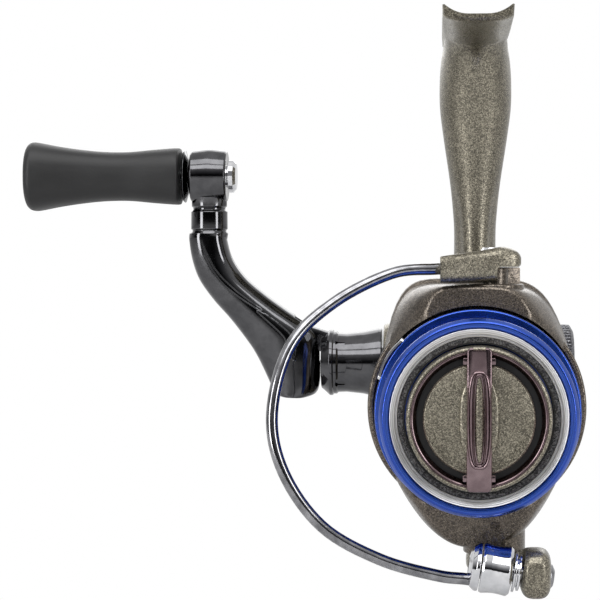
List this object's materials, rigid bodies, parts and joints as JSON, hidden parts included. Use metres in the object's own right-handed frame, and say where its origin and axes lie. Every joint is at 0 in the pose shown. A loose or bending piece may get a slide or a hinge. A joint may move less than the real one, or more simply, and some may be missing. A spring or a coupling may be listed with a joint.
{
  "type": "spinning reel",
  "caption": "Open-face spinning reel: fixed spool with drag knob, two-arm rotor with bail wire and line roller, side crank with knob, gearbox on a stem with a saddle foot for a rod seat",
  "frame": {"origin": "middle of the flat strip along the saddle on top of the foot, above the crank axis", "axes": "+Z out of the foot towards the rod, -Y from the foot to the spool, -X to the handle"},
  "size_m": [0.1015, 0.0739, 0.0986],
  "materials": {
    "olive": "metal-flake gunmetal olive paint, semi-gloss",
    "umber": "dark metal-flake paint, semi-gloss",
    "blue": "blue anodised",
    "silver": "turned, anodised silver and blue",
    "dark_chrome": "wine-tinted black chrome",
    "black_chrome": "black chrome",
    "bright_chrome": "polished",
    "steel": "ground",
    "brass": "cut",
    "rubber": "matt black",
    "nylon": "natural",
    "felt": "oiled felt"
  },
  "bodies": {
    "housing": {"housing": "olive", "side_cover": "olive", "rear_guard": "umber", "cover_screw_1": "steel", "cover_screw_2": "steel", "cover_screw_3": "steel", "guard_screw": "steel", "pinion_bearing": "steel", "one_way_clutch": "steel", "drive_bearing_left": "steel", "drive_bearing_right": "steel", "guide_rod_left": "steel", "guide_rod_right": "steel"},
    "anti_reverse_switch": {"anti_reverse_lever": "umber"},
    "crank": {"drive_gear": "brass", "handle_shank": "black_chrome", "handle_screw_cap": "black_chrome"},
    "crank_arm": {"handle_arm": "black_chrome", "fold_pin": "steel", "knob_spindle": "steel", "knob_washer": "black_chrome"},
    "crank_knob": {"handle_knob": "rubber", "knob_end_cap": "black_chrome"},
    "oscillation_wheel": {"oscillation_gear": "nylon"},
    "shaft": {"main_shaft": "steel", "crosswind_slider": "nylon", "click_gear": "nylon", "drag_spring": "steel"},
    "spool_group": {"spool": "silver", "spool_lip": "blue", "line_clip": "blue", "click_pawl": "steel", "drag_washer_1": "felt", "drag_washer_2": "steel", "drag_washer_3": "felt", "retaining_ring": "steel"},
    "drag_cap": {"drag_knob": "olive", "drag_knob_ring": "dark_chrome", "drag_knob_disc": "olive", "drag_knob_grip": "dark_chrome"},
    "drag_thread": {"drag_nut": "brass"},
    "rotor_group": {"rotor": "umber", "rotor_nut": "steel", "pinion": "brass", "bail_spring": "steel", "upper_pivot_screw": "bright_chrome", "lower_pivot_screw": "bright_chrome"},
    "trip": {"trip_lever": "steel"},
    "bail": {"bail_holder": "olive", "bail_arm": "olive", "bail_wire": "dark_chrome", "roller_screw": "bright_chrome", "roller_bush": "dark_chrome"},
    "roller": {"line_roller": "bright_chrome"}
  },
  "joints": [
    {"name": "crank_turn", "type": "hinge", "parent": "housing", "child": "crank", "pos_m": [0, 0, -0.0605], "axis": [1, 0, 0], "continuous": true},
    {"name": "handle_fold", "type": "hinge", "parent": "crank", "child": "crank_arm", "pos_m": [-0.0306, 0, -0.0557], "axis": [0, 1, 0], "range_deg": [0, 55]},
    {"name": "knob_turn", "type": "hinge", "parent": "crank_arm", "child": "crank_knob", "pos_m": [-0.068, 0, -0.0263], "axis": [1, 0, 0], "continuous": true},
    {"name": "oscillation_turn", "type": "hinge", "parent": "housing", "child": "oscillation_wheel", "pos_m": [0.0073, 0.0074, -0.0684], "axis": [1, 0, 0], "continuous": true},
    {"name": "rotor_turn", "type": "hinge", "parent": "housing", "child": "rotor_group", "pos_m": [0, -0.015, -0.067], "axis": [0, -1, 0], "continuous": true},
    {"name": "spool_stroke", "type": "slide", "parent": "housing", "child": "shaft", "axis": [0, -1, 0], "range_m": [-0.004, 0.004]},
    {"name": "spool_slip", "type": "hinge", "parent": "shaft", "child": "spool_group", "pos_m": [0, -0.032, -0.067], "axis": [0, -1, 0], "continuous": true},
    {"name": "drag_turn", "type": "hinge", "parent": "shaft", "child": "drag_cap", "pos_m": [0, -0.042, -0.067], "axis": [0, -1, 0], "range_deg": [-180, 180]},
    {"name": "drag_nut_travel", "type": "slide", "parent": "shaft", "child": "drag_thread", "axis": [0, 1, 0], "range_m": [-0.0003, 0.0003]},
    {"name": "bail_flip", "type": "hinge", "parent": "rotor_group", "child": "bail", "pos_m": [0.003, -0.023, -0.067], "axis": [0, 0, 1], "range_deg": [0, 110]},
    {"name": "trip_travel", "type": "slide", "parent": "rotor_group", "child": "trip", "axis": [0, -1, 0], "range_m": [0, 0.0016]},
    {"name": "roller_turn", "type": "hinge", "parent": "bail", "child": "roller", "pos_m": [0.003, -0.0365, -0.0924], "axis": [0.9903, 0, -0.1392], "continuous": true},
    {"name": "anti_reverse_turn", "type": "hinge", "parent": "housing", "child": "anti_reverse_switch", "pos_m": [-0.002, 0.006, -0.081], "axis": [0, 0, 1], "range_deg": [-20, 20]}
  ],
  "couplings": [
    {"joint": "rotor_turn", "follows": "crank_turn", "ratio": 5.2},
    {"joint": "oscillation_turn", "follows": "crank_turn", "ratio": -0.55556},
    {"joint": "drag_nut_travel", "follows": "drag_turn", "m_per_rad": 0.00009},
    {"joint": "trip_travel", "follows": "bail_flip", "m_per_rad": 0.0008}
  ]
}
